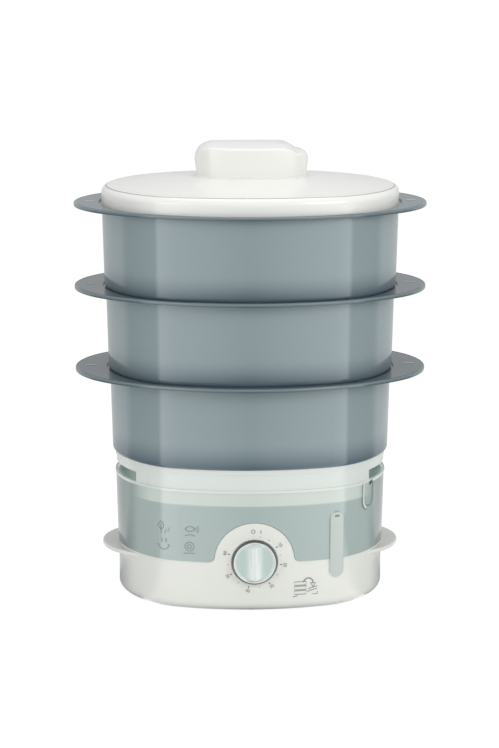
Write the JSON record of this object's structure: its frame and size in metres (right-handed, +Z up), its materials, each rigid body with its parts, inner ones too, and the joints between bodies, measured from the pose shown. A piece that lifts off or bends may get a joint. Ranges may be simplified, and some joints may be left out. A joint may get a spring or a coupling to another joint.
{
  "type": "electric food steamer",
  "caption": "Electric food steamer: oval base with timer dial and heater, water tank, juice collector, stacked bowls with lift-out grids, and a domed lid.",
  "frame": {"origin": "on the table under the middle of the base", "axes": "+Z up through the stack, -Y towards the dial, +X to the right of the dial"},
  "size_m": [0.32, 0.238, 0.4126],
  "materials": {
    "housing_plastic": "satin white moulding",
    "tank_plastic": "translucent grey-green",
    "bowl_plastic": "translucent blue-grey",
    "lid_plastic": "frosted warm white",
    "collector_plastic": "pale green-white",
    "knob_plastic": "pale aqua, semi-clear",
    "grid_plastic": "pale grey",
    "seal_rubber": "moulded",
    "foot_rubber": "moulded",
    "heater_alloy": "cast and coated",
    "steel": "zinc plated",
    "brass": "plain",
    "insulator": "dark moulding",
    "turbo_plastic": "white moulding"
  },
  "bodies": {
    "base": {"base_housing": "housing_plastic", "bottom_cover": "housing_plastic", "foot_1": "foot_rubber", "foot_2": "foot_rubber", "foot_3": "foot_rubber", "foot_4": "foot_rubber", "housing_screws": "steel", "timer_case": "insulator", "timer_screws": "steel", "timer_bell": "steel", "tank": "tank_plastic", "heater_seal": "seal_rubber", "heater_plate": "heater_alloy", "heater_retainer": "steel", "heater_screws": "steel", "heater_element": "steel", "thermostat": "insulator", "thermal_fuse": "steel", "terminal_block": "insulator", "cord_gland": "insulator"},
    "dial": {"timer_knob": "knob_plastic", "timer_shaft": "brass"},
    "diffuser": {"turbo_ring": "turbo_plastic"},
    "collector": {"juice_collector": "collector_plastic"},
    "lower_bowl": {"bowl_lower": "bowl_plastic"},
    "lower_grid": {"grid_lower": "grid_plastic"},
    "middle_bowl": {"bowl_middle": "bowl_plastic"},
    "middle_grid": {"grid_middle": "grid_plastic"},
    "upper_bowl": {"bowl_upper": "bowl_plastic"},
    "upper_grid": {"grid_upper": "grid_plastic"},
    "cover": {"lid": "lid_plastic"}
  },
  "joints": [
    {"name": "collector_lift", "type": "slide", "parent": "base", "child": "collector", "axis": [0, 0, 1], "range_m": [0, 0.08]},
    {"name": "lower_bowl_lift", "type": "slide", "parent": "collector", "child": "lower_bowl", "axis": [0, 0, 1], "range_m": [0, 0.08]},
    {"name": "middle_bowl_lift", "type": "slide", "parent": "lower_bowl", "child": "middle_bowl", "axis": [0, 0, 1], "range_m": [0, 0.08]},
    {"name": "upper_bowl_lift", "type": "slide", "parent": "middle_bowl", "child": "upper_bowl", "axis": [0, 0, 1], "range_m": [0, 0.08]},
    {"name": "lid_lift", "type": "slide", "parent": "upper_bowl", "child": "cover", "axis": [0, 0, 1], "range_m": [0, 0.09]},
    {"name": "lower_grid_lift", "type": "slide", "parent": "lower_bowl", "child": "lower_grid", "axis": [0, 0, 1], "range_m": [0, 0.055]},
    {"name": "middle_grid_lift", "type": "slide", "parent": "middle_bowl", "child": "middle_grid", "axis": [0, 0, 1], "range_m": [0, 0.055]},
    {"name": "upper_grid_lift", "type": "slide", "parent": "upper_bowl", "child": "upper_grid", "axis": [0, 0, 1], "range_m": [0, 0.055]},
    {"name": "turbo_ring_lift", "type": "slide", "parent": "base", "child": "diffuser", "axis": [0, 0, 1], "range_m": [0, 0.015]},
    {"name": "timer_turn", "type": "hinge", "parent": "base", "child": "dial", "pos_m": [0, -0.0958, 0.0463], "axis": [0, 1, 0], "range_deg": [0, 276]}
  ]
}
